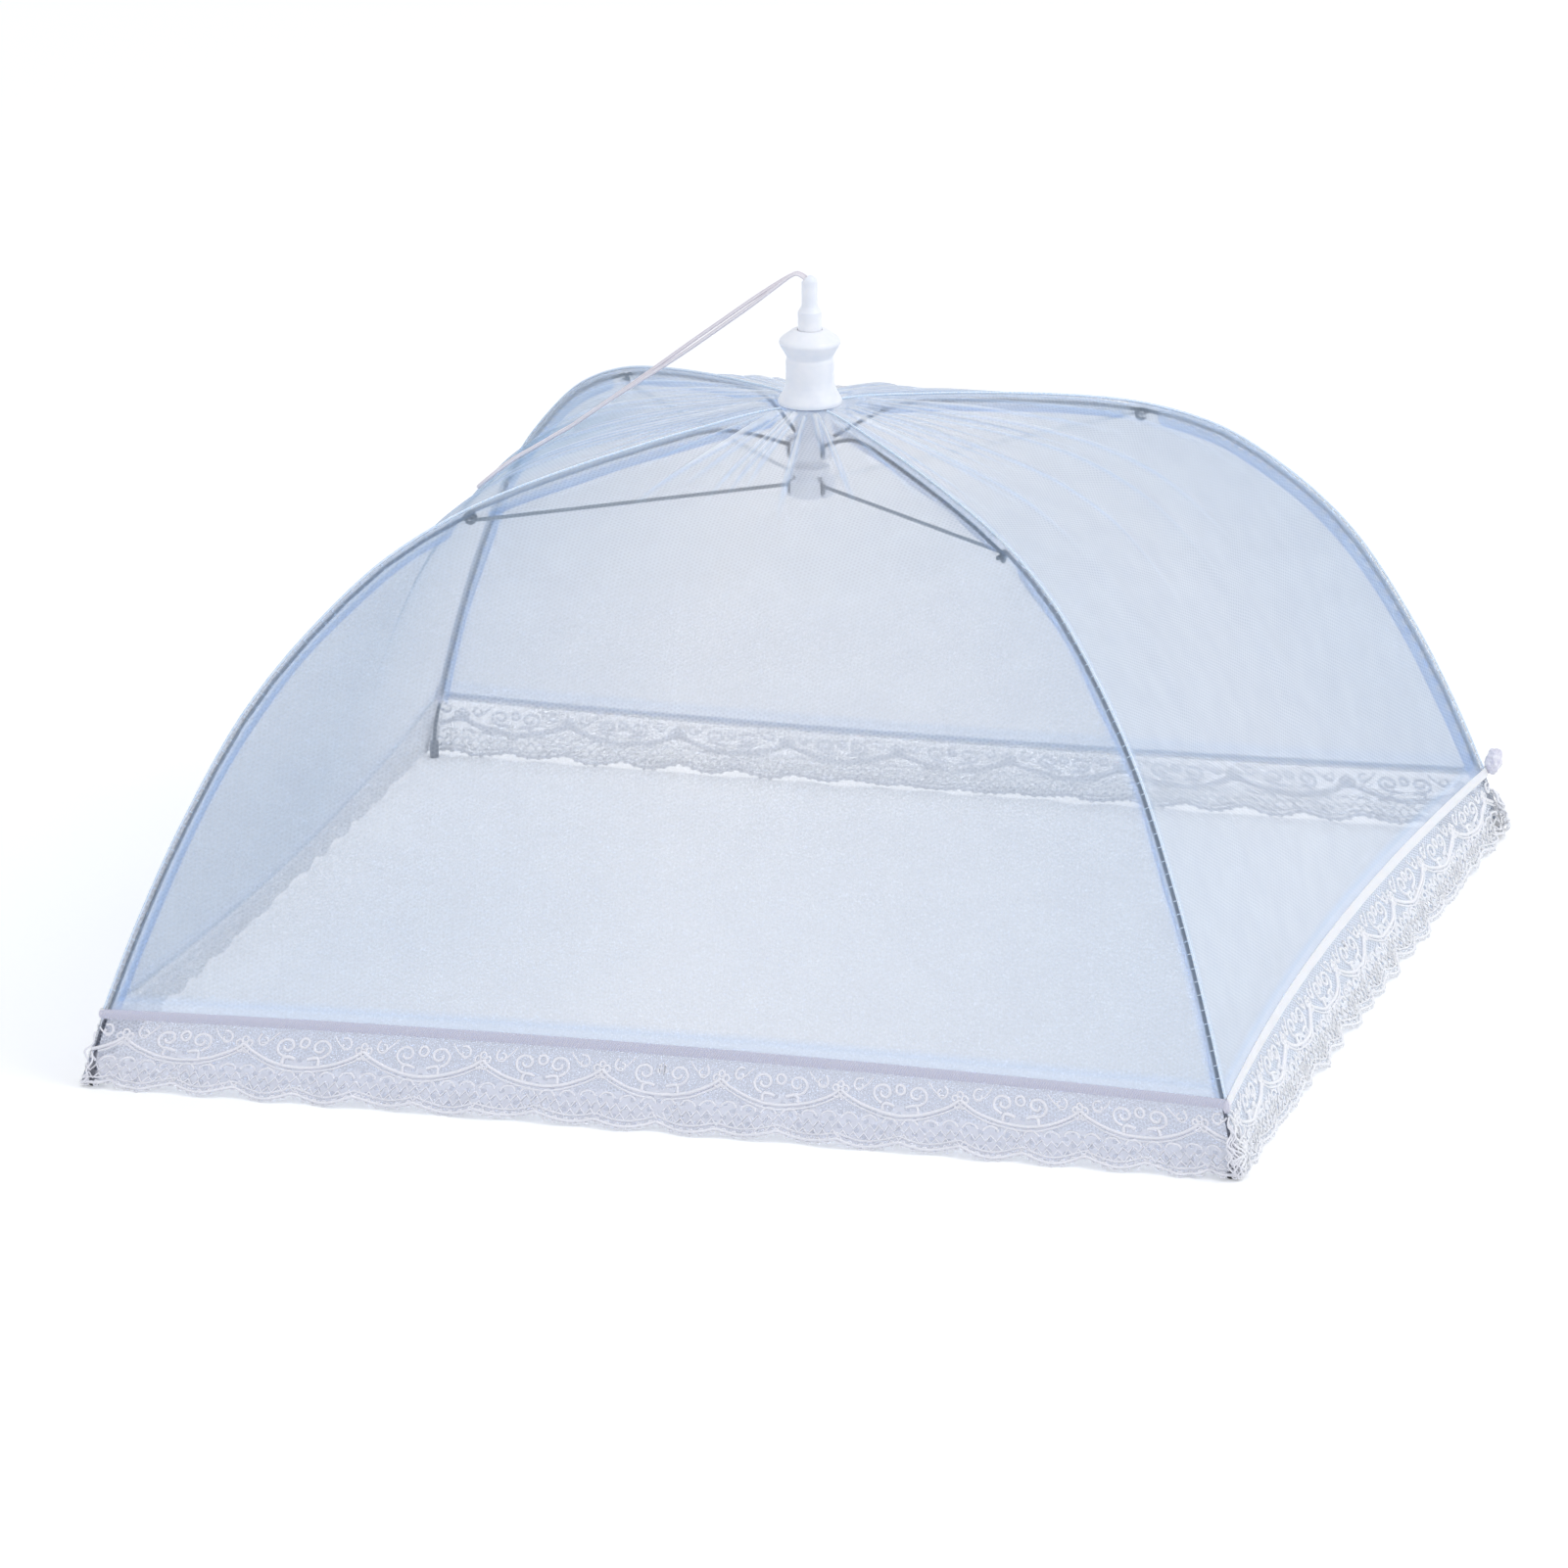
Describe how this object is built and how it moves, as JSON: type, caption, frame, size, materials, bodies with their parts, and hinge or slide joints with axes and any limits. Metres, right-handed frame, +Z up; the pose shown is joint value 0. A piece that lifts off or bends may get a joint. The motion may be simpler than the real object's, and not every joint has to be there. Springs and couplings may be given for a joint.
{
  "type": "folding mesh food cover",
  "caption": "Square umbrella-style net cover that stands over food, with hinged wire ribs, a white crown cap with a push-and-pull rod, a pull cord and a lace hem.",
  "frame": {"origin": "on the table, under the centre of the crown cap", "axes": "+Z up along the crown's axis; the hem's sides run along X and Y; the pull cord lies towards -X, over the panel at the left of the picture"},
  "size_m": [0.4444, 0.4444, 0.271],
  "materials": {
    "white_plastic": "moulded white polypropylene, satin to gloss",
    "steel_wire": "drawn spring steel wire, grey",
    "tie_wire": "soft annealed wire",
    "tip_plastic": "dark soft plastic",
    "net": "fine light-blue polyester net, see-through",
    "seam_net": "the same net, doubled into a seam",
    "lace": "white floral lace on net",
    "satin_braid": "white satin braid",
    "cord": "white braided cord"
  },
  "bodies": {
    "hub": {"crown_cap": "white_plastic", "rib_notch": "white_plastic", "rib_tie_wire": "tie_wire", "pull_cord": "cord"},
    "rib_assembly_front_left": {"rib_front_left": "steel_wire", "rib_tip_cap_front_left": "tip_plastic", "casing_inner_front_left": "seam_net", "casing_outer_front_left": "seam_net", "panel_front_left": "net", "panel_left_front": "net", "lace_front_left": "lace", "lace_left_front": "lace", "braid_front_left": "satin_braid", "braid_left_front": "satin_braid"},
    "strut_link_front_left": {"strut_front_left": "steel_wire"},
    "rib_assembly_front_right": {"rib_front_right": "steel_wire", "rib_tip_cap_front_right": "tip_plastic", "casing_inner_front_right": "seam_net", "casing_outer_front_right": "seam_net", "panel_front_right": "net", "panel_right_front": "net", "lace_front_right": "lace", "lace_right_front": "lace", "braid_front_right": "satin_braid", "braid_right_front": "satin_braid"},
    "strut_link_front_right": {"strut_front_right": "steel_wire"},
    "rib_assembly_back_right": {"rib_back_right": "steel_wire", "rib_tip_cap_back_right": "tip_plastic", "casing_inner_back_right": "seam_net", "casing_outer_back_right": "seam_net", "panel_right_back": "net", "panel_back_right": "net", "lace_right_back": "lace", "lace_back_right": "lace", "braid_right_back": "satin_braid", "braid_back_right": "satin_braid"},
    "strut_link_back_right": {"strut_back_right": "steel_wire"},
    "rib_assembly_back_left": {"rib_back_left": "steel_wire", "rib_tip_cap_back_left": "tip_plastic", "casing_inner_back_left": "seam_net", "casing_outer_back_left": "seam_net", "panel_back_left": "net", "panel_left_back": "net", "lace_back_left": "lace", "lace_left_back": "lace", "braid_back_left": "satin_braid", "braid_left_back": "satin_braid"},
    "strut_link_back_left": {"strut_back_left": "steel_wire"},
    "runner_and_rod": {"runner": "white_plastic", "strut_tie_wire": "tie_wire"},
    "drawn_cord": {"cord_start": "cord", "cord_finish": "cord"}
  },
  "joints": [
    {"name": "fold", "type": "hinge", "parent": "hub", "child": "rib_assembly_front_left", "pos_m": [-0.00566, -0.00566, 0.20282], "axis": [0.7071, -0.7071, 0], "range_deg": [0, 55.15], "deforming": ["panel_front_left", "panel_left_front", "lace_front_left", "lace_left_front", "braid_front_left", "braid_left_front"]},
    {"name": "elbow_front_left", "type": "hinge", "parent": "rib_assembly_front_left", "child": "strut_link_front_left", "pos_m": [-0.10297, -0.10297, 0.19532], "axis": [0.7071, -0.7071, 0], "range_deg": [-110.3, 0]},
    {"name": "fold_front_right", "type": "hinge", "parent": "hub", "child": "rib_assembly_front_right", "pos_m": [0.00566, -0.00566, 0.20282], "axis": [0.7071, 0.7071, 0], "range_deg": [0, 55.15], "deforming": ["panel_front_right", "panel_right_front", "lace_front_right", "lace_right_front", "braid_front_right", "braid_right_front"]},
    {"name": "elbow_front_right", "type": "hinge", "parent": "rib_assembly_front_right", "child": "strut_link_front_right", "pos_m": [0.10297, -0.10297, 0.19532], "axis": [0.7071, 0.7071, 0], "range_deg": [-110.3, 0]},
    {"name": "fold_back_right", "type": "hinge", "parent": "hub", "child": "rib_assembly_back_right", "pos_m": [0.00566, 0.00566, 0.20282], "axis": [-0.7071, 0.7071, 0], "range_deg": [0, 55.15], "deforming": ["panel_right_back", "panel_back_right", "lace_right_back", "lace_back_right", "braid_right_back", "braid_back_right"]},
    {"name": "elbow_back_right", "type": "hinge", "parent": "rib_assembly_back_right", "child": "strut_link_back_right", "pos_m": [0.10297, 0.10297, 0.19532], "axis": [-0.7071, 0.7071, 0], "range_deg": [-110.3, 0]},
    {"name": "fold_back_left", "type": "hinge", "parent": "hub", "child": "rib_assembly_back_left", "pos_m": [-0.00566, 0.00566, 0.20282], "axis": [-0.7071, -0.7071, 0], "range_deg": [0, 55.15], "deforming": ["panel_back_left", "panel_left_back", "lace_back_left", "lace_left_back", "braid_back_left", "braid_left_back"]},
    {"name": "elbow_back_left", "type": "hinge", "parent": "rib_assembly_back_left", "child": "strut_link_back_left", "pos_m": [-0.10297, 0.10297, 0.19532], "axis": [-0.7071, -0.7071, 0], "range_deg": [-110.3, 0]},
    {"name": "runner_hinge", "type": "hinge", "parent": "strut_link_front_left", "child": "runner_and_rod", "pos_m": [-0.00566, -0.00566, 0.18782], "axis": [0.7071, -0.7071, 0], "range_deg": [0, 55.15]},
    {"name": "cord_draw", "type": "slide", "parent": "hub", "child": "drawn_cord", "axis": [0, 0, -1], "range_m": [0, 0.21946], "deforming": ["cord_start", "cord_finish"]}
  ],
  "couplings": [
    {"joint": "elbow_front_left", "follows": "fold", "ratio": -2},
    {"joint": "fold_front_right", "follows": "fold", "ratio": 1},
    {"joint": "elbow_front_right", "follows": "fold", "ratio": -2},
    {"joint": "fold_back_right", "follows": "fold", "ratio": 1},
    {"joint": "elbow_back_right", "follows": "fold", "ratio": -2},
    {"joint": "fold_back_left", "follows": "fold", "ratio": 1},
    {"joint": "elbow_back_left", "follows": "fold", "ratio": -2},
    {"joint": "runner_hinge", "follows": "fold", "ratio": 1},
    {"joint": "cord_draw", "follows": "fold", "m_per_rad": 0.228}
  ]
}
